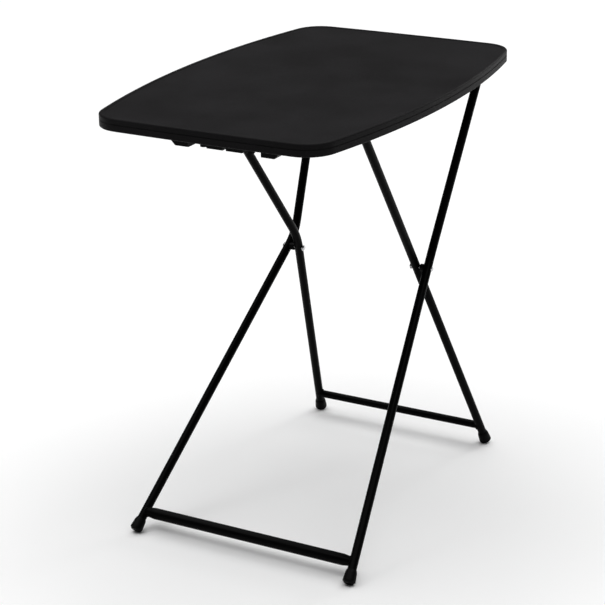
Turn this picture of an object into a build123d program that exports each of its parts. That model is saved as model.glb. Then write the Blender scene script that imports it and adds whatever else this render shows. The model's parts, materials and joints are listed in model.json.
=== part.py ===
from build123d import *
import os
from math import cos, radians, sin, sqrt, tan

# Folding snack table, standing on the floor plane z = 0 with its long side along Y.
# The user's edge is at -Y. The outer leg frame is hinged under the far end, at +Y,
# and the inner leg frame carries a lock bar that sits in one of three rack notches.
# Sizes are in millimetres. Pieces are drawn for the +X side and mirrored to the left.

# Table top
TOP_HEIGHT = 696.0  # floor to the crest of the rim bead
TOP_LENGTH = 665.0
TOP_MID_WIDTH = 440.0  # across the middle of the bowed sides
SIDE_BOW = 38.0  # crown of each long side
END_BOW = 2.6  # crown of each short end
CORNER_R = 48.0
RIM_DEPTH = 19.5
RIM_WALL = 3.2
PLATE = 3.5
BEAD_WIDTH = 8.0  # raised bead round the top face
BEAD_HEIGHT = 1.2
UPPER_EDGE_R = 3.0
LOWER_EDGE = 1.0  # chamfer under the rim
SEAM_DROP = 9.0  # crest of the bead to the mould seam groove
SEAM_WIDTH = 1.6
SEAM_DEPTH = 0.7
RIB_WALL = 2.4
RIB_SHORT = 1.0  # lower edge of the rim to the lower edge of the ribs
RIB_PITCH_X = 58.0
RIB_PITCH_Y = 62.0
BAY_MARGIN = 8.0  # space kept free of ribs round the hinge bar and the legs

# Tubes
TUBE_D = 14.0
TUBE_WALL = 1.2
BAR_D = 16.0  # hinge bar and lock bar
BAR_OVERHANG = 4.0  # bar past the outer face of each leg
COPE_SHOULDER = 0.5  # a coped tube is this much smaller in radius than the leg
PLUG_FLANGE = 2.5
PLUG_BEVEL = 1.2
PLUG_DEPTH = 12.0

# Scissor pivot: rivets through both legs, with the bends just above them
PIVOT_Y = 137.4
PIVOT_Z = 366.7
LEG_GAP = 5.9  # between the outer and the inner leg, along the rivet
KNEE_RISE = 25.0  # rivet to the corner of the bend, along the leg
BEND_START = 2.0  # straight tube above the rivet, before the bend
RIVET_D = 6.0
RIVET_HEAD_D = 8.0
RIVET_HEAD = 1.8
RIVET_BEVEL = 1.0
SPACER_D = 12.0
WASHER_D = 10.0
WASHER = 1.0

# Outer leg frame
OUTER_FOOT_Y = -264.6  # where the leg's centre line meets the floor
OUTER_FOOT_HALF = 190.1
OUTER_PIVOT_HALF = 127.7
HINGE_LEG_INSET = 35.0  # ends of the bowed sides, before the corners, to the legs at the hinge bar
HINGE_INSET = 29.5  # far end of the top to the hinge axis
HINGE_ROOF = 2.3  # resin between the hinge bar and the plate
OUTER_CROSSBAR_RISE = 13.2  # upper end of the foot tip to the crossbar's axis, along the leg
OUTER_CROSSBAR_D = 18.0
OUTER_CROSSBAR_SWAGE = 18.0  # length of each swaged end

# Inner leg frame
INNER_FOOT_Y = 309.2
INNER_FOOT_HALF = 161.9
LOCK_SIDE_GAP = 9.2  # ends of the lock bar to the outer legs, as it passes between them
LOCK_DROP = 41.0  # crest of the rim to the lock bar's axis
INNER_CROSSBAR_RISE = 16.4

# Foot tips
FOOT_WALL = 3.0
FOOT_NECK_WALL = 2.0
FOOT_LIP_WALL = 0.9
FOOT_EDGE = 3.0  # chamfer round the sole
FOOT_FLAT = 0.5  # depth of the flat where the sole's edge meets the floor
FOOT_SOLE = 4.5
FOOT_SKIRT = 6.0
FOOT_NECK = 17.0
FOOT_LENGTH = 21.0

# Height racks: saw teeth with upright faces towards the hinge
NOTCHES = 3
NOTCH_PITCH = 81.0
RACK_INSET = 63.8  # user's edge of the top to the racks
TOOTH_BELOW = 6.5  # tooth tip below the lock bar's axis
TOOTH_TIP = 20.0
ROOF_FLAT = 3.0  # flat roof past the lock bar's axis
REAR_RAMP = 22.0
TOOTH_R = 1.5
INNER_RAIL_HALF = 3.0  # centre plane to the inner rail
INNER_RAIL_WIDTH = 26.0
INNER_RAIL_SHORT = 2.0  # the inner rail's teeth are this much shorter
RAIL_GAP = 31.0  # between the two rails
OUTER_RAIL_WIDTH = 30.0
OUTER_RAIL_BEVEL = 9.0  # on the teeth, along the outer side
RACK_WALL = 3.0
RACK_BASE = 4.0
TOWER_GAP = 3.5  # inner rail to the screw towers
TOWER_D = 12.0
TOWER_FLOOR = 5.0

# Hinge straps
STRAP_HALF = 80.0
STRAP_WIDTH = 24.0
STRAP_RIM_GAP = 1.3  # strap to the inner face of the rim
STRAP_WALL = 3.5
STRAP_EDGE = 7.0  # end of the strap to its screw

# Screws and moulded bosses
SCREW_D = 3.6
SCREW_HEAD_D = 7.4
SCREW_HEAD = 2.2
SCREW_TIP_GAP = 2.8  # screw tip to the plate
BOSS_D = 7.4

# Clearances
RUN_CLEAR = 0.05  # radial, pin in a turning hole
MOVE_GAP = 0.4  # between pieces that move past each other
SEAT_CLEAR = 0.1  # radial, between pieces fixed to each other

# Places worked out from the sizes above
TUBE_R = TUBE_D / 2
BAR_R = BAR_D / 2
COPED_R = TUBE_R - COPE_SHOULDER  # crossbar ends
PLATE_Z = TOP_HEIGHT - BEAD_HEIGHT - PLATE  # underside of the plate
RIM_Z = TOP_HEIGHT - RIM_DEPTH
RIB_Z = RIM_Z + RIB_SHORT  # lower edge of the ribs and bosses, where the racks seat
SCREW_TIP_Z = PLATE_Z - SCREW_TIP_GAP
HINGE_Y = TOP_LENGTH / 2 - HINGE_INSET
HINGE_Z = PLATE_Z - HINGE_ROOF - BAR_R
STRAP_REACH = HINGE_INSET - RIM_WALL - STRAP_RIM_GAP
STRAP_X = (STRAP_HALF - STRAP_WIDTH / 2, STRAP_HALF + STRAP_WIDTH / 2)
STRAP_Y = (HINGE_Y - STRAP_REACH, HINGE_Y + STRAP_REACH)
STRAP_SCREW_YS = [STRAP_Y[0] + STRAP_EDGE, STRAP_Y[1] - STRAP_EDGE]

RACK_FRONT = RACK_INSET - TOP_LENGTH / 2
FACE_YS = [RACK_FRONT + TOOTH_TIP + i * NOTCH_PITCH for i in range(NOTCHES)]  # upright tooth faces
NOTCH_YS = [y + BAR_R + MOVE_GAP for y in FACE_YS]
LOCK_Y = NOTCH_YS[-1]
LOCK_Z = TOP_HEIGHT - LOCK_DROP
RACK_REAR = LOCK_Y + ROOF_FLAT + REAR_RAMP
ROOF_Z = LOCK_Z + BAR_R + MOVE_GAP
TIP_Z = LOCK_Z - TOOTH_BELOW
TOWER_HALF = INNER_RAIL_HALF + INNER_RAIL_WIDTH + TOWER_GAP + TOWER_D / 2
TOWER_YS = [y - TOOTH_TIP / 2 for y in FACE_YS]
OUTER_RAIL_HALF = INNER_RAIL_HALF + INNER_RAIL_WIDTH + RAIL_GAP
RAILS = [(INNER_RAIL_HALF, INNER_RAIL_WIDTH), (OUTER_RAIL_HALF, OUTER_RAIL_WIDTH)]

OUTER_TOP_HALF = TOP_MID_WIDTH / 2 - SIDE_BOW - HINGE_LEG_INSET
OUTER_FLOOR = Vector(OUTER_FOOT_HALF, OUTER_FOOT_Y, 0)
OUTER_PIVOT = Vector(OUTER_PIVOT_HALF, PIVOT_Y, PIVOT_Z)
OUTER_TOP = Vector(OUTER_TOP_HALF, HINGE_Y, HINGE_Z)
INNER_FLOOR = Vector(INNER_FOOT_HALF, INNER_FOOT_Y, 0)
INNER_PIVOT = Vector(OUTER_PIVOT_HALF - TUBE_D - LEG_GAP, PIVOT_Y, PIVOT_Z)
INNER_TOP_HALF = OUTER_TOP_HALF - TUBE_D - LOCK_SIDE_GAP - PLUG_FLANGE - BAR_OVERHANG
INNER_TOP = Vector(INNER_TOP_HALF, LOCK_Y, LOCK_Z)


def left_of(solid):
    """The mirror image of a piece, on the -X side."""
    return mirror(solid, about=Plane.YZ)


def both_sides(solids):
    """One group of separate solids: the given ones and their mirror images."""
    return Compound(children=[*solids, *[left_of(solid) for solid in solids]])


def x_rod(radius, x_from, x_to, y, z):
    """Round rod along X."""
    length = x_to - x_from
    return Pos((x_from + x_to) / 2, y, z) * Rot(0, 90, 0) * Cylinder(radius, length)


def z_rod(radius, x, y, z_from, z_to):
    """Round rod along Z."""
    return Pos(x, y, (z_from + z_to) / 2) * Cylinder(radius, z_to - z_from)


def span_box(x, y, z):
    """Box between two limits on each axis."""
    size = [high - low for low, high in (x, y, z)]
    middle = [(high + low) / 2 for low, high in (x, y, z)]
    return Pos(*middle) * Box(*size)


# Table top


def bow_radius(half_chord, bow):
    """Radius of an arc with a given crown over its chord."""
    return (half_chord**2 + bow**2) / (2 * bow)


def bow_crossing(inset):
    """Where a long side's arc and an end's arc cross, both drawn inside the outer edge by inset."""
    half_x = TOP_MID_WIDTH / 2
    half_y = TOP_LENGTH / 2
    side_r = bow_radius(half_y - END_BOW, SIDE_BOW)
    end_r = bow_radius(half_x - SIDE_BOW, END_BOW)
    side_centre = Vector(half_x - side_r, 0)
    end_centre = Vector(0, half_y - end_r)
    apart = end_centre - side_centre
    along = ((side_r - inset) ** 2 - (end_r - inset) ** 2 + apart.length**2) / (2 * apart.length)
    across = sqrt((side_r - inset) ** 2 - along**2)
    direction = apart.normalized()
    return side_centre + direction * along + direction.rotate(Axis.Z, 90) * across


def plan(inset=0.0):
    """Plan of the table top, drawn inside its outer edge by inset."""
    half_x = TOP_MID_WIDTH / 2 - inset
    half_y = TOP_LENGTH / 2 - inset
    corner = bow_crossing(inset)
    x = corner.X
    y = corner.Y
    right = ThreePointArc((x, -y), (half_x, 0), (x, y))
    far = ThreePointArc((x, y), (0, half_y), (-x, y))
    left = ThreePointArc((-x, y), (-half_x, 0), (-x, -y))
    near = ThreePointArc((-x, -y), (0, -half_y), (x, -y))
    face = make_face([right, far, left, near])
    return fillet(face.vertices(), CORNER_R - inset)


def slab(inset, z_from, z_to):
    """Slab with the plan of the table top, set in from its edge."""
    return Pos(Z=z_from) * extrude(plan(inset), z_to - z_from)


def rim_shell():
    """Plate and rim with a raised bead, a rounded upper edge and a mould seam round the side."""
    shell = slab(0, RIM_Z, TOP_HEIGHT)
    shell = fillet(shell.edges().group_by(Axis.Z)[-1], UPPER_EDGE_R)
    shell = chamfer(shell.edges().group_by(Axis.Z)[0], LOWER_EDGE)
    recess = slab(BEAD_WIDTH - BEAD_HEIGHT, TOP_HEIGHT - BEAD_HEIGHT, TOP_HEIGHT + BEAD_HEIGHT)
    recess = chamfer(recess.edges().group_by(Axis.Z)[0], BEAD_HEIGHT)
    seam_z = TOP_HEIGHT - SEAM_DROP
    seam = slab(0, seam_z - SEAM_WIDTH / 2, seam_z + SEAM_WIDTH / 2)
    seam -= slab(SEAM_DEPTH, seam_z - SEAM_WIDTH, seam_z + SEAM_WIDTH)
    hollow = slab(RIM_WALL, RIM_Z - RIM_DEPTH, PLATE_Z)
    return shell - recess - seam - hollow


def rib_places(half, pitch):
    """Middles of the ribs that fit inside the rim, set out from the centre line both ways."""
    count = int((half - RIM_WALL - RIB_WALL) / pitch)
    return [i * pitch for i in range(-count, count + 1)]


def ribs():
    """Stiffening ribs under the plate, open where the hinge bar and the outer legs swing."""
    inside = slab(RIM_WALL / 2, RIB_Z, PLATE_Z)
    half_x = TOP_MID_WIDTH / 2
    half_y = TOP_LENGTH / 2
    z = (RIB_Z, PLATE_Z)
    bay_y = (STRAP_Y[0], half_y)
    bay_half = bar_half(OUTER_TOP) + PLUG_FLANGE + BAY_MARGIN
    hinge_bay = span_box((-bay_half, bay_half), bay_y, z)
    leg_reach = TUBE_R + BAY_MARGIN
    leg_bay = span_box((OUTER_TOP_HALF - leg_reach, OUTER_TOP_HALF + leg_reach), bay_y, z)
    notch_r = BAR_R + HINGE_ROOF / 2
    notch = x_rod(notch_r, -bay_half, bay_half, HINGE_Y, HINGE_Z)
    notch += span_box((-bay_half, bay_half), (HINGE_Y - notch_r, HINGE_Y + notch_r), (RIB_Z, HINGE_Z))
    solids = []
    for x in rib_places(half_x, RIB_PITCH_X):
        rib = span_box((x - RIB_WALL / 2, x + RIB_WALL / 2), (-half_y, half_y), z)
        solids.append((rib & inside) - leg_bay - left_of(leg_bay) - notch)
    for y in rib_places(half_y, RIB_PITCH_Y):
        rib = span_box((-half_x, half_x), (y - RIB_WALL / 2, y + RIB_WALL / 2), z)
        solids.append((rib & inside) - hinge_bay)
    return solids


def rack_boss(y):
    """Moulded screw boss that a rack tower is screwed against."""
    return z_rod(BOSS_D / 2, TOWER_HALF, y, RIB_Z, PLATE_Z)


def hinge_bore():
    """Running bore for the hinge bar."""
    return x_rod(BAR_R + RUN_CLEAR, *STRAP_X, HINGE_Y, HINGE_Z)


def hinge_pad():
    """Moulded seat on the underside for the upper half of the hinge bar."""
    return span_box(STRAP_X, STRAP_Y, (HINGE_Z, PLATE_Z)) - hinge_bore()


def screw_holes():
    """Right-hand holes for the screws of the rack and the strap."""
    places = [(TOWER_HALF, y) for y in TOWER_YS] + [(STRAP_HALF, y) for y in STRAP_SCREW_YS]
    return [z_rod(SCREW_D / 2, x, y, RIB_Z, SCREW_TIP_Z) for x, y in places]


def table_top():
    """The whole moulded top."""
    right = [rack_boss(y) for y in TOWER_YS] + [hinge_pad()]
    fittings = right + [left_of(piece) for piece in right]
    top = rim_shell().fuse(*ribs(), *fittings)
    for hole in screw_holes():
        top -= hole
        top -= left_of(hole)
    return top


# Height racks


def rack_profile(tip_z):
    """Side view of a toothed rail, along Y and up Z, with sharp corners."""
    points = [(RACK_FRONT, RIB_Z), (RACK_FRONT, tip_z)]
    for i in range(NOTCHES):
        points += [(FACE_YS[i], tip_z), (FACE_YS[i], ROOF_Z), (NOTCH_YS[i] + ROOF_FLAT, ROOF_Z)]
        if i < NOTCHES - 1:
            points.append((FACE_YS[i + 1] - TOOTH_TIP, tip_z))
    ramp_run = NOTCH_PITCH - BAR_R - MOVE_GAP - TOOTH_TIP - ROOF_FLAT
    slope = (ROOF_Z - tip_z) / ramp_run
    points += [(RACK_REAR, ROOF_Z - REAR_RAMP * slope), (RACK_REAR, RIB_Z)]
    return make_face(Polyline(*points, close=True))


def bevelled(solid, x, z):
    """Cut a 45 degree bevel along the lower edge of a rail at x and z."""
    side = OUTER_RAIL_BEVEL * sqrt(2)
    length = RACK_REAR - RACK_FRONT
    return solid - Pos(x, (RACK_FRONT + RACK_REAR) / 2, z) * Rot(0, 45, 0) * Box(side, length, side)


def rail(x_from, width, tip_z, bevel):
    """Toothed rail with rounded teeth, hollow from its upper side."""
    profile = rack_profile(tip_z)
    inside = offset(profile, -RACK_WALL, kind=Kind.INTERSECTION)
    inside += Pos(0, RACK_WALL) * inside
    teeth = [corner for corner in profile.vertices() if corner.Y < ROOF_Z - TOOTH_R]
    outside = fillet(teeth, TOOTH_R)
    solid = Pos(X=x_from) * extrude(Plane.YZ * outside, width)
    core = Pos(X=x_from + RACK_WALL) * extrude(Plane.YZ * inside, width - 2 * RACK_WALL)
    if bevel:
        solid = bevelled(solid, x_from + width, tip_z)
        core = bevelled(core, x_from + width - RACK_WALL, tip_z + RACK_WALL)
    return solid - core


def height_rack():
    """Right rack: two toothed rails and a row of screw towers on a common base."""
    base_x = (INNER_RAIL_HALF, OUTER_RAIL_HALF + OUTER_RAIL_WIDTH)
    base = span_box(base_x, (RACK_FRONT, RACK_REAR), (RIB_Z - RACK_BASE, RIB_Z))
    for x, width in RAILS:
        base -= span_box(
            (x + RACK_WALL, x + width - RACK_WALL),
            (RACK_FRONT + RACK_WALL, RACK_REAR - RACK_WALL),
            (RIB_Z - RACK_BASE, RIB_Z),
        )
    outer = rail(OUTER_RAIL_HALF, OUTER_RAIL_WIDTH, TIP_Z, True)
    inner = rail(INNER_RAIL_HALF, INNER_RAIL_WIDTH, TIP_Z + INNER_RAIL_SHORT, False)
    towers = [z_rod(TOWER_D / 2, TOWER_HALF, y, TIP_Z + INNER_RAIL_SHORT, RIB_Z) for y in TOWER_YS]
    rack = base.fuse(outer, inner, *towers)
    floor_z = RIB_Z - TOWER_FLOOR
    for y in TOWER_YS:
        rack -= z_rod(SCREW_D / 2 + SEAT_CLEAR, TOWER_HALF, y, floor_z, RIB_Z)
        rack -= z_rod(SCREW_HEAD_D / 2 + SEAT_CLEAR, TOWER_HALF, y, TIP_Z, floor_z)
    return rack


def screw(x, y, seat_z):
    """Screw driven upwards, with its head under a seat at seat_z."""
    head = z_rod(SCREW_HEAD_D / 2, x, y, seat_z - SCREW_HEAD, seat_z)
    return head + z_rod(SCREW_D / 2, x, y, seat_z, SCREW_TIP_Z)


def rack_screws():
    """Screws up the rack towers into the bosses of the top."""
    return both_sides([screw(TOWER_HALF, y, RIB_Z - TOWER_FLOOR) for y in TOWER_YS])


# Hinge straps


def hinge_strap():
    """Right strap: the lower half of the hinge bar's bearing, with two screw flanges."""
    outer_r = BAR_R + RUN_CLEAR + STRAP_WALL
    strap = x_rod(outer_r, *STRAP_X, HINGE_Y, HINGE_Z)
    strap += span_box(STRAP_X, STRAP_Y, (HINGE_Z - STRAP_WALL, HINGE_Z))
    strap &= span_box(STRAP_X, STRAP_Y, (HINGE_Z - outer_r, HINGE_Z))
    strap -= hinge_bore()
    for y in STRAP_SCREW_YS:
        strap -= z_rod(SCREW_D / 2 + SEAT_CLEAR, STRAP_HALF, y, HINGE_Z - STRAP_WALL, HINGE_Z)
    return strap


def strap_screws():
    """Screws up the strap flanges into the hinge pads."""
    return both_sides([screw(STRAP_HALF, y, HINGE_Z - STRAP_WALL) for y in STRAP_SCREW_YS])


# Leg frames


def leg_along(floor, pivot):
    """Direction up the straight lower part of a leg."""
    return (pivot - floor).normalized()


def sole_point(floor, pivot):
    """Middle of the sole, so far up the leg that the foot's bevelled edge just reaches the floor."""
    along = leg_along(floor, pivot)
    lean = radians(along.get_angle(Vector(0, 0, 1)))
    foot_r = TUBE_R + FOOT_WALL
    sole_drop = (foot_r - FOOT_EDGE) * sin(lean)
    side_drop = foot_r * sin(lean) - FOOT_EDGE * cos(lean)
    lift = max(sole_drop, side_drop) - FOOT_FLAT
    return floor + along * (lift / cos(lean))


def leg_path(floor, pivot, top):
    """Centre line of a leg: straight past the rivet, one bend, straight to its bar."""
    along = leg_along(floor, pivot)
    start = sole_point(floor, pivot) + along * FOOT_SOLE
    knee = pivot + along * KNEE_RISE
    half_turn = along.get_angle(top - knee) / 2
    radius = (KNEE_RISE - BEND_START) / tan(radians(half_turn))
    return FilletPolyline(start, knee, top, radius=radius)


def rod_along(path, radius):
    """Solid rod swept along a centre line."""
    start = Plane(origin=path @ 0, z_dir=path % 0)
    return sweep(start * Circle(radius), path=path)


def leg(floor, pivot, top, hole_r):
    """Leg tube, coped under its bar and drilled for the rivet."""
    path = leg_path(floor, pivot, top)
    tube = rod_along(path, TUBE_R) - rod_along(path, TUBE_R - TUBE_WALL)
    tube -= x_rod(BAR_R, top.X - BAR_D, top.X + BAR_D, top.Y, top.Z)
    return tube - x_rod(hole_r, pivot.X - TUBE_D, pivot.X + TUBE_D, pivot.Y, pivot.Z)


def leg_solid(floor, pivot, top):
    """Outer form of a leg, for seating other pieces on it."""
    return rod_along(leg_path(floor, pivot, top), TUBE_R)


def bar_half(top):
    """Half length of a bar that carries two legs."""
    return top.X + TUBE_R + BAR_OVERHANG


def bar(top):
    """Straight tube across the tops of two legs."""
    half = bar_half(top)
    tube = x_rod(BAR_R, -half, half, top.Y, top.Z)
    return tube - x_rod(BAR_R - TUBE_WALL, -half, half, top.Y, top.Z)


def bar_plugs(top):
    """Bevelled plugs in the open ends of a bar."""
    half = bar_half(top)
    flange = x_rod(BAR_R, half, half + PLUG_FLANGE, top.Y, top.Z)
    flange = chamfer(flange.edges().group_by(Axis.X)[-1], PLUG_BEVEL)
    stem = x_rod(BAR_R - TUBE_WALL, half - PLUG_DEPTH, half, top.Y, top.Z)
    return both_sides([flange + stem])


def crossbar_end(floor, pivot, rise):
    """Where a crossbar's axis meets a leg's centre line, above the foot tip."""
    return sole_point(floor, pivot) + leg_along(floor, pivot) * (FOOT_LENGTH + rise)


def outer_crossbar():
    """Low bar of the outer frame, swaged down at both ends and coped to the legs."""
    end = crossbar_end(OUTER_FLOOR, OUTER_PIVOT, OUTER_CROSSBAR_RISE)
    middle = end.X - OUTER_CROSSBAR_SWAGE
    outline = [(0, OUTER_CROSSBAR_D / 2), (middle, OUTER_CROSSBAR_D / 2), (end.X, COPED_R)]
    inside = [(x, r - TUBE_WALL) for x, r in reversed(outline)]
    section = make_face(Polyline(*outline, *inside, close=True))
    half = Pos(0, end.Y, end.Z) * revolve(section, Axis.X)
    half -= leg_solid(OUTER_FLOOR, OUTER_PIVOT, OUTER_TOP)
    return half + left_of(half)


def inner_crossbar():
    """Low bar of the inner frame, coped to the legs."""
    end = crossbar_end(INNER_FLOOR, INNER_PIVOT, INNER_CROSSBAR_RISE)
    half = x_rod(COPED_R, 0, end.X, end.Y, end.Z)
    half -= x_rod(COPED_R - TUBE_WALL, 0, end.X, end.Y, end.Z)
    half -= leg_solid(INNER_FLOOR, INNER_PIVOT, INNER_TOP)
    return half + left_of(half)


def foot_tip(floor, pivot):
    """Moulded tip pushed over the end of a leg: a tapered sleeve with a bevelled sole and lip."""
    foot_r = TUBE_R + FOOT_WALL
    neck_r = TUBE_R + FOOT_NECK_WALL
    lip_r = TUBE_R + FOOT_LIP_WALL
    points = [
        (0, 0),
        (foot_r - FOOT_EDGE, 0),
        (foot_r, FOOT_EDGE),
        (foot_r, FOOT_SKIRT),
        (neck_r, FOOT_NECK),
        (lip_r, FOOT_LENGTH),
        (TUBE_R, FOOT_LENGTH),
        (TUBE_R, FOOT_SOLE),
        (0, FOOT_SOLE),
    ]
    section = make_face(Polyline(*points, close=True))
    tip = revolve(Plane.XZ * section, Axis.Z)
    tip = Plane(origin=sole_point(floor, pivot), z_dir=leg_along(floor, pivot)) * tip
    return split(tip, Plane.XY, keep=Keep.TOP)


# Scissor rivets


def clear_face(floor, pivot, radius, side):
    """X of the plane beside a leg that just clears its slope, out to a radius round the rivet."""
    along = leg_along(floor, pivot)
    lean = radians(90 - along.get_angle(Vector(-1, 0, 0)))
    return pivot.X + side * (TUBE_R / cos(lean) + radius * tan(lean))


def inner_face(radius, side):
    """X of the plane that the turning inner leg stays clear of."""
    return clear_face(INNER_FLOOR, INNER_PIVOT, radius, side) + side * MOVE_GAP


def pivot_spacer():
    """Ring on the rivet between the legs, seated on the outer leg."""
    start = inner_face(SPACER_D / 2, 1)
    ring = x_rod(SPACER_D / 2, start, OUTER_PIVOT_HALF, PIVOT_Y, PIVOT_Z)
    ring -= x_rod(RIVET_D / 2, start, OUTER_PIVOT_HALF, PIVOT_Y, PIVOT_Z)
    return ring - leg_solid(OUTER_FLOOR, OUTER_PIVOT, OUTER_TOP)


def pivot_washer():
    """Washer on the rivet beside the inner leg."""
    face = inner_face(WASHER_D / 2, -1)
    washer = x_rod(WASHER_D / 2, face - WASHER, face, PIVOT_Y, PIVOT_Z)
    return washer - x_rod(RIVET_D / 2, face - WASHER, face, PIVOT_Y, PIVOT_Z)


def rivet_head(seat, side):
    """Bevelled rivet head that stands out from its seat, to one side along X."""
    x_from, x_to = sorted([seat, seat + side * RIVET_HEAD])
    head = x_rod(RIVET_HEAD_D / 2, x_from, x_to, PIVOT_Y, PIVOT_Z)
    crest = head.edges().sort_by(Axis.X)[-1 if side > 0 else 0]
    return chamfer(crest, RIVET_BEVEL)


def pivot_rivet():
    """Right rivet: fixed in the outer leg, a turning pin in the inner leg."""
    inner_seat = inner_face(WASHER_D / 2, -1) - WASHER
    outer_seat = clear_face(OUTER_FLOOR, OUTER_PIVOT, RIVET_HEAD_D / 2, 1)
    shank = x_rod(RIVET_D / 2, inner_seat, outer_seat, PIVOT_Y, PIVOT_Z)
    return rivet_head(inner_seat, -1) + shank + rivet_head(outer_seat, 1)


def pieces():
    """Every piece by name."""
    outer = (OUTER_FLOOR, OUTER_PIVOT, OUTER_TOP)
    inner = (INNER_FLOOR, INNER_PIVOT, INNER_TOP)
    pairs = {
        "height_rack": height_rack(),
        "hinge_strap": hinge_strap(),
        "outer_leg": leg(*outer, RIVET_D / 2),
        "outer_foot": foot_tip(OUTER_FLOOR, OUTER_PIVOT),
        "inner_leg": leg(*inner, RIVET_D / 2 + RUN_CLEAR),
        "inner_foot": foot_tip(INNER_FLOOR, INNER_PIVOT),
        "pivot_rivet": pivot_rivet(),
        "pivot_spacer": pivot_spacer(),
        "pivot_washer": pivot_washer(),
    }
    singles = {
        "table_top": table_top(),
        "rack_screws": rack_screws(),
        "strap_screws": strap_screws(),
        "hinge_bar": bar(OUTER_TOP),
        "hinge_bar_plugs": bar_plugs(OUTER_TOP),
        "outer_crossbar": outer_crossbar(),
        "lock_bar": bar(INNER_TOP),
        "lock_bar_plugs": bar_plugs(INNER_TOP),
        "inner_crossbar": inner_crossbar(),
    }
    for name, solid in pairs.items():
        singles[name + "_right"] = solid
        singles[name + "_left"] = left_of(solid)
    return singles


os.makedirs("parts", exist_ok=True)
for node, shape in pieces().items():
    export_step(shape, f"parts/{node}.step")
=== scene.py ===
import json
from math import cos, pi, radians, sin, sqrt

import bmesh
import bpy
from mathutils import Matrix, Vector


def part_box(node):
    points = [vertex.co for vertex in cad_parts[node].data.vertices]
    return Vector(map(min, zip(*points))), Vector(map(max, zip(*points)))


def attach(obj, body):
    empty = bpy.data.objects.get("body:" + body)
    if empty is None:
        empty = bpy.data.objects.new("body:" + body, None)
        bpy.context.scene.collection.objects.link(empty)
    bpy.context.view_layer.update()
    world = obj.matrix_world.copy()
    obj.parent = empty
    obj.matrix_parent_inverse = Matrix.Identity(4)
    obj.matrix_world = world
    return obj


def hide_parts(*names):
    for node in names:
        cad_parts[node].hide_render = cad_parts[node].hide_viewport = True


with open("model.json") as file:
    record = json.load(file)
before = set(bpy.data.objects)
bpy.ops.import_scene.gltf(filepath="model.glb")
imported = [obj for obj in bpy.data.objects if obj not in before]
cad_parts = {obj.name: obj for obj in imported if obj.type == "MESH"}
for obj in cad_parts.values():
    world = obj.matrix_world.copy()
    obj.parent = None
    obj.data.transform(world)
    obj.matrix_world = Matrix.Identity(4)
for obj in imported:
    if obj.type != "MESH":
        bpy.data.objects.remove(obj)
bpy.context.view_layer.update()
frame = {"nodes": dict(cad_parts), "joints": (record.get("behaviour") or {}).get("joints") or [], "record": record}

# Camera, fitted to the photograph
CAMERA_AIM = Vector((0, 0, 0.35))
CAMERA_AZIMUTH = 29.07
CAMERA_ELEVATION = 20.457
CAMERA_ROLL = -0.848
CAMERA_DISTANCE = 3.09825
CAMERA_OFFSET = (-0.02249, -0.01619)
CAMERA_LENS = 116.85
CAMERA_SENSOR = 36

# Tube centre lines of the right-hand legs, as in the part's source, in metres
JOINT_PLACES = {joint["name"]: Vector(joint["pos_m"]) for joint in frame["joints"]}
PIVOT = JOINT_PLACES["inner_close"]
HINGE = JOINT_PLACES["top_lift"]
FRAMES = {
    "outer_frame": {
        "floor": Vector((0.1901, -0.2646, 0)),
        "pivot": Vector((0.1277, PIVOT.y, PIVOT.z)),
        "top": Vector((0.147, HINGE.y, HINGE.z)),
        "crossbar": "outer_crossbar",
    },
    "inner_frame": {
        "floor": Vector((0.1619, 0.3092, 0)),
        "pivot": Vector((0.1078, PIVOT.y, PIVOT.z)),
        "top": Vector((0.1173, -0.0783, 0.655)),
        "crossbar": "inner_crossbar",
    },
}
TUBE_R = 0.007
BAR_R = 0.008
CROSSBAR_END_R = 0.0065
KNEE_RISE = 0.025  # rivet to the corner of the bend, along the leg

# Weld beads
WELD_R = 0.0017
WELD_STEPS = 96  # rings round the joint
WELD_SIDES = 10
WELD_RIPPLES = 26
WELD_RIPPLE_SHARE = 0.14  # of the bead's radius

# Screw heads: the profile runs from the seat down, as shares of the radius and heights above the lowest point
SCREW_HEAD_R = 0.0037
SCREW_HEAD_HEIGHT = 0.0022
SCREW_PROFILE = ((1.0, SCREW_HEAD_HEIGHT), (1.0, 0.0011), (0.93, 0.0006), (0.8, 0.0002), (0.68, 0))
SCREW_STEPS = 40
RECESS_REACH = 0.62 * SCREW_HEAD_R
RECESS_HALF = 0.15 * SCREW_HEAD_R
RECESS_TAPER = 0.72  # size of the recess at its floor
RECESS_DEPTH = 0.0013
RACK_SCREW_X = 0.0385
RACK_SCREW_YS = (-0.0967, -0.1777, -0.2587)
STRAP_SCREW_X = 0.08
STRAP_SCREW_YS = (0.285, 0.321)

# Noise values stay near their middle, so roughness and colour use only this part of their range
ROUGHNESS_SPAN = (0.3, 0.7)
COLOUR_SPAN = (0.35, 0.65)

# Stage
FLOOR_HALF = 30
FLOOR_BOUNCE = (0.25, 0.25, 0.25, 1)
ROOM_COLOUR = (0.98, 0.99, 1.0, 1)
ROOM_STRENGTH = 0.08


# Materials


def node_material(name):
    """New node material: the material, its node tree and its Principled shader."""
    material = bpy.data.materials.new(name)
    material.use_nodes = True
    tree = material.node_tree
    return material, tree, tree.nodes["Principled BSDF"]


def add_noise(tree, scale, detail, roughness=0.5, stretch=(1, 1, 1)):
    """Noise in object space, with scale in waves per metre."""
    coords = tree.nodes.new("ShaderNodeTexCoord")
    mapping = tree.nodes.new("ShaderNodeMapping")
    mapping.inputs["Scale"].default_value = stretch
    noise = tree.nodes.new("ShaderNodeTexNoise")
    noise.inputs["Scale"].default_value = scale
    noise.inputs["Detail"].default_value = detail
    noise.inputs["Roughness"].default_value = roughness
    tree.links.new(coords.outputs["Object"], mapping.inputs["Vector"])
    tree.links.new(mapping.outputs["Vector"], noise.inputs["Vector"])
    return noise.outputs["Fac"]


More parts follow.
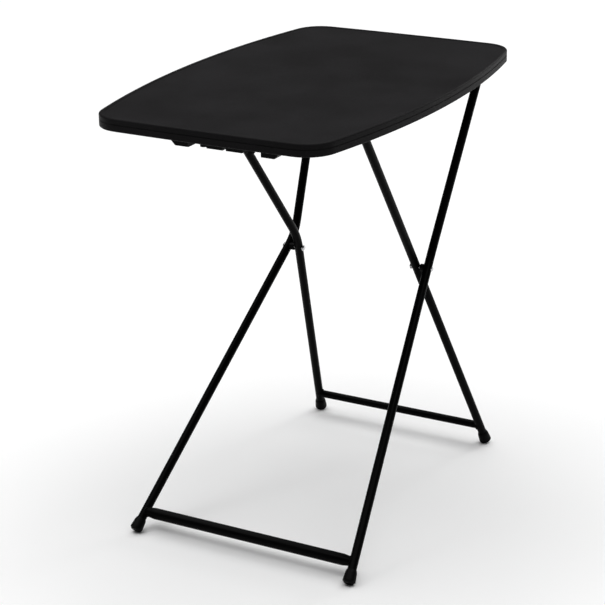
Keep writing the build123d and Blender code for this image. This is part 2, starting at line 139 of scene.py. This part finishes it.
def add_colours(tree, value, dark, light):
    """Blend two colours by a noise value."""
    ramp = tree.nodes.new("ShaderNodeValToRGB")
    for element, position, colour in zip(ramp.color_ramp.elements, COLOUR_SPAN, (dark, light)):
        element.position = position
        element.color = (*colour, 1)
    tree.links.new(value, ramp.inputs["Fac"])
    return ramp.outputs["Color"]


def add_roughness(tree, shader, value, middle, spread):
    """Roughness that wanders about its middle with a noise value."""
    node = tree.nodes.new("ShaderNodeMapRange")
    node.inputs["From Min"].default_value = ROUGHNESS_SPAN[0]
    node.inputs["From Max"].default_value = ROUGHNESS_SPAN[1]
    node.inputs["To Min"].default_value = middle - spread
    node.inputs["To Max"].default_value = middle + spread
    tree.links.new(value, node.inputs["Value"])
    tree.links.new(node.outputs["Result"], shader.inputs["Roughness"])


def add_bump(tree, shader, height, distance):
    """Bump from a height value, in metres."""
    bump = tree.nodes.new("ShaderNodeBump")
    bump.inputs["Distance"].default_value = distance
    tree.links.new(height, bump.inputs["Height"])
    tree.links.new(bump.outputs["Normal"], shader.inputs["Normal"])


def top_resin():
    """Charcoal moulded resin with a fine spark-eroded grain and slight clouding."""
    material, tree, shader = node_material("top_resin")
    cloud = add_noise(tree, scale=9, detail=4)
    grain = add_noise(tree, scale=900, detail=3, roughness=0.6)
    colour = add_colours(tree, cloud, dark=(0.0095, 0.0089, 0.0094), light=(0.0145, 0.0138, 0.0147))
    tree.links.new(colour, shader.inputs["Base Color"])
    shader.inputs["Specular IOR Level"].default_value = 0.04
    add_roughness(tree, shader, grain, middle=0.47, spread=0.07)
    add_bump(tree, shader, grain, distance=0.00012)
    return material


def moulded_resin(name, dark, light, rough):
    """Smooth black moulded resin for the racks, straps, plugs and foot tips."""
    material, tree, shader = node_material(name)
    cloud = add_noise(tree, scale=45, detail=3)
    grain = add_noise(tree, scale=1400, detail=2)
    tree.links.new(add_colours(tree, cloud, dark, light), shader.inputs["Base Color"])
    shader.inputs["Specular IOR Level"].default_value = 0.05
    add_roughness(tree, shader, cloud, middle=rough, spread=0.06)
    add_bump(tree, shader, grain, distance=0.00006)
    return material


def frame_paint():
    """Black powder coat with a soft orange peel."""
    material, tree, shader = node_material("frame_paint")
    cloud = add_noise(tree, scale=22, detail=3)
    peel = add_noise(tree, scale=620, detail=2, roughness=0.4)
    colour = add_colours(tree, cloud, dark=(0.0011, 0.0011, 0.0012), light=(0.002, 0.002, 0.0021))
    tree.links.new(colour, shader.inputs["Base Color"])
    shader.inputs["Specular IOR Level"].default_value = 0.035
    add_roughness(tree, shader, cloud, middle=0.4, spread=0.06)
    add_bump(tree, shader, peel, distance=0.00008)
    return material


def plated_steel(name, dark, light, rough):
    """Plated steel with fine turning marks round X."""
    material, tree, shader = node_material(name)
    marks = add_noise(tree, scale=900, detail=4, roughness=0.6, stretch=(0.2, 1, 1))
    tree.links.new(add_colours(tree, marks, dark, light), shader.inputs["Base Color"])
    shader.inputs["Metallic"].default_value = 1.0
    add_roughness(tree, shader, marks, middle=rough, spread=0.08)
    add_bump(tree, shader, marks, distance=0.00004)
    return material


def seen_directly(tree):
    """1 where the floor is seen by the camera, in a reflection or through glass, else 0."""
    path = tree.nodes.new("ShaderNodeLightPath")
    value = path.outputs["Is Camera Ray"]
    for ray in ("Is Glossy Ray", "Is Transmission Ray"):
        either = tree.nodes.new("ShaderNodeMath")
        either.operation = "MAXIMUM"
        tree.links.new(value, either.inputs[0])
        tree.links.new(path.outputs[ray], either.inputs[1])
        value = either.outputs["Value"]
    return value


def floor_material():
    """White floor with a trace of mottling, which throws less light back up than it shows."""
    material, tree, shader = node_material("floor")
    cloud = add_noise(tree, scale=1.2, detail=3)
    white = add_colours(tree, cloud, dark=(0.985, 0.985, 0.985), light=(1.0, 1.0, 1.0))
    mix = tree.nodes.new("ShaderNodeMixRGB")
    mix.inputs["Color1"].default_value = FLOOR_BOUNCE
    tree.links.new(seen_directly(tree), mix.inputs["Fac"])
    tree.links.new(white, mix.inputs["Color2"])
    tree.links.new(mix.outputs["Color"], shader.inputs["Base Color"])
    shader.inputs["Roughness"].default_value = 0.9
    shader.inputs["Specular IOR Level"].default_value = 0.0
    return material


MATERIALS = {
    "top_resin": top_resin(),
    "rack_resin": moulded_resin("rack_resin", (0.0018, 0.0018, 0.0019), (0.0032, 0.0032, 0.0034), rough=0.5),
    "foot_resin": moulded_resin("foot_resin", (0.0016, 0.0016, 0.0017), (0.003, 0.003, 0.0032), rough=0.42),
    "frame_paint": frame_paint(),
    "rivet_steel": plated_steel("rivet_steel", (0.5, 0.5, 0.51), (0.7, 0.7, 0.71), rough=0.3),
    "screw_steel": plated_steel("screw_steel", (0.3, 0.3, 0.31), (0.45, 0.45, 0.46), rough=0.38),
}


def paint(obj, slot):
    """Give an object the one material of a record slot."""
    obj.data.materials.clear()
    obj.data.materials.append(MATERIALS[slot])


def paint_cad_nodes():
    """Put the scene's materials on the CAD nodes."""
    for subpart in frame["record"]["subparts"]:
        paint(frame["nodes"][subpart["node"]], subpart["material_slot"])


# Pieces


def add_piece(name, mesh, body, slot):
    """Link a finished bmesh as a piece that rides on a body."""
    data = bpy.data.meshes.new(name)
    bmesh.ops.recalc_face_normals(mesh, faces=mesh.faces)
    mesh.to_mesh(data)
    mesh.free()
    piece = bpy.data.objects.new(name, data)
    bpy.context.scene.collection.objects.link(piece)
    paint(piece, slot)
    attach(piece, body)
    return piece


def skin(mesh, one, two, smooth):
    """Quads between two closed rings of as many vertices."""
    for i in range(len(one)):
        j = (i + 1) % len(one)
        mesh.faces.new((one[i], one[j], two[j], two[i])).smooth = smooth


def joint_curve(centre, main, main_r, branch, branch_r):
    """Closed curve where a branch tube meets a main tube, with both axes through centre."""
    side = branch.orthogonal().normalized()
    other = branch.cross(side)
    reach = branch - branch.dot(main) * main
    points = []
    for i in range(WELD_STEPS):
        turn = 2 * pi * i / WELD_STEPS
        start = branch_r * (cos(turn) * side + sin(turn) * other)
        off = start - start.dot(main) * main
        half = off.dot(reach)
        square = half * half - reach.length_squared * (off.length_squared - main_r * main_r)
        along = (sqrt(max(square, 0)) - half) / reach.length_squared
        points.append(centre + start + along * branch)
    return points


def weld_bead(mesh, centre, main, main_r, branch, branch_r):
    """Add a rippled weld bead round one tube joint."""
    points = joint_curve(centre, main, main_r, branch, branch_r)
    count = len(points)
    rings = []
    for i, point in enumerate(points):
        tangent = (points[(i + 1) % count] - points[i - 1]).normalized()
        outward = point - centre
        outward = (outward - outward.dot(tangent) * tangent).normalized()
        across = tangent.cross(outward)
        radius = WELD_R * (1 + WELD_RIPPLE_SHARE * cos(2 * pi * WELD_RIPPLES * i / count))
        ring = []
        for k in range(WELD_SIDES):
            turn = 2 * pi * k / WELD_SIDES
            ring.append(mesh.verts.new(point + radius * (cos(turn) * outward + sin(turn) * across)))
        rings.append(ring)
    for i in range(count):
        skin(mesh, rings[i], rings[(i + 1) % count], smooth=True)


def add_welds(body, sizes):
    """Weld beads of one leg frame: its crossbar and its top bar, on both sides."""
    mesh = bmesh.new()
    crossbar_z = sum(corner[2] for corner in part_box(sizes["crossbar"])) / 2
    for sign in (1, -1):
        flip = Matrix.Diagonal((sign, 1, 1))
        floor = flip @ sizes["floor"]
        pivot = flip @ sizes["pivot"]
        top = flip @ sizes["top"]
        along = (pivot - floor).normalized()
        low = floor + (pivot - floor) * (crossbar_z / pivot.z)
        knee = pivot + along * KNEE_RISE
        inward = Vector((-sign, 0, 0))
        weld_bead(mesh, low, along, TUBE_R, inward, CROSSBAR_END_R)
        weld_bead(mesh, top, inward, BAR_R, (knee - top).normalized(), TUBE_R)
    add_piece(body + "_welds", mesh, body, "frame_paint")


def circle_ring(mesh, x, y, z, radius):
    """Level ring of vertices round a screw's axis."""
    turns = [2 * pi * i / SCREW_STEPS for i in range(SCREW_STEPS)]
    return [mesh.verts.new((x + radius * cos(turn), y + radius * sin(turn), z)) for turn in turns]


def cross_ring(mesh, x, y, z, scale):
    """Level ring of vertices in the shape of a screw's cross recess."""
    reach = RECESS_REACH * scale
    half = RECESS_HALF * scale
    verts = []
    for quarter in range(4):
        turn = quarter * pi / 2
        for u, v in ((reach, -half), (reach, half), (half, half)):
            place = (x + u * cos(turn) - v * sin(turn), y + u * sin(turn) + v * cos(turn), z)
            verts.append(mesh.verts.new(place))
    return verts


def loop_edges(mesh, verts):
    """Edges of a closed ring of vertices, made where they are missing."""
    edges = []
    for i, vert in enumerate(verts):
        pair = (vert, verts[(i + 1) % len(verts)])
        edges.append(mesh.edges.get(pair) or mesh.edges.new(pair))
    return edges


def screw_head(mesh, x, y, low):
    """Pan head with a cross recess, facing down, with its lowest point at low."""
    rings = [circle_ring(mesh, x, y, low + height, share * SCREW_HEAD_R) for share, height in SCREW_PROFILE]
    for outer, inner in zip(rings, rings[1:]):
        skin(mesh, outer, inner, smooth=True)
    mesh.faces.new(rings[0])
    mouth = cross_ring(mesh, x, y, low, 1)
    floor = cross_ring(mesh, x, y, low + RECESS_DEPTH, RECESS_TAPER)
    bmesh.ops.bridge_loops(mesh, edges=loop_edges(mesh, rings[-1]) + loop_edges(mesh, mouth))
    skin(mesh, mouth, floor, smooth=False)
    mesh.faces.new(floor)


def add_screws(name, node, x, ys):
    """Replace a group of plain CAD screws by heads with a driver recess."""
    mesh = bmesh.new()
    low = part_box(node)[0][2]
    for sign in (1, -1):
        for y in ys:
            screw_head(mesh, sign * x, y, low)
    piece = add_piece(name, mesh, "table_top", "screw_steel")
    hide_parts(node)


# Stage


def add_floor():
    """Large white floor."""
    mesh = bmesh.new()
    bmesh.ops.create_grid(mesh, x_segments=1, y_segments=1, size=FLOOR_HALF)
    data = bpy.data.meshes.new("floor")
    mesh.to_mesh(data)
    mesh.free()
    floor = bpy.data.objects.new("floor", data)
    bpy.context.scene.collection.objects.link(floor)
    data.materials.append(floor_material())


def add_light(name, kind, energy, place, aim):
    """Add a lamp at a place, turned towards a point."""
    lamp = bpy.data.lights.new(name, kind)
    lamp.energy = energy
    obj = bpy.data.objects.new(name, lamp)
    obj.location = place
    obj.rotation_mode = "QUATERNION"
    obj.rotation_quaternion = (Vector(aim) - Vector(place)).to_track_quat("-Z", "Y")
    bpy.context.scene.collection.objects.link(obj)
    return lamp


def add_lights():
    """Broad soft light from above, two weak softboxes for the edges and a dim even room."""
    overhead = add_light("overhead", "SUN", energy=3.0, place=(-0.2, 0.6, 4), aim=(0, 0, 0))
    overhead.angle = radians(84)
    back = add_light("back_softbox", "AREA", energy=11, place=(0.8, 3.0, 1.5), aim=(0.1, 0.1, 0.68))
    back.size = 0.7
    front = add_light("front_softbox", "AREA", energy=5, place=(-1.5, -1.2, 2.6), aim=(0, -0.1, 0.68))
    front.size = 0.7
    world = bpy.data.worlds.new("room")
    world.use_nodes = True
    background = world.node_tree.nodes["Background"]
    background.inputs["Color"].default_value = ROOM_COLOUR
    background.inputs["Strength"].default_value = ROOM_STRENGTH
    bpy.context.scene.world = world


def add_camera():
    """Camera at the photograph's place, with its slight roll."""
    az = radians(CAMERA_AZIMUTH)
    el = radians(CAMERA_ELEVATION)
    roll = radians(CAMERA_ROLL)
    back = Vector((sin(az) * cos(el), -cos(az) * cos(el), sin(el)))
    level = Vector((cos(az), sin(az), 0))
    above = back.cross(level)
    right = cos(roll) * level + sin(roll) * above
    up = cos(roll) * above - sin(roll) * level
    place = CAMERA_AIM + CAMERA_DISTANCE * back + CAMERA_OFFSET[0] * right + CAMERA_OFFSET[1] * up
    data = bpy.data.cameras.new("camera")
    data.sensor_width = CAMERA_SENSOR
    data.lens = CAMERA_LENS
    camera = bpy.data.objects.new("camera", data)
    camera.matrix_world = Matrix.Translation(place) @ Matrix((right, up, back)).transposed().to_4x4()
    bpy.context.scene.collection.objects.link(camera)
    bpy.context.scene.camera = camera


paint_cad_nodes()
for body, sizes in FRAMES.items():
    add_welds(body, sizes)
add_screws("rack_screw_heads", "rack_screws", RACK_SCREW_X, RACK_SCREW_YS)
add_screws("strap_screw_heads", "strap_screws", STRAP_SCREW_X, STRAP_SCREW_YS)
add_floor()
add_lights()
add_camera()
bpy.context.scene.view_settings.view_transform = "Standard"
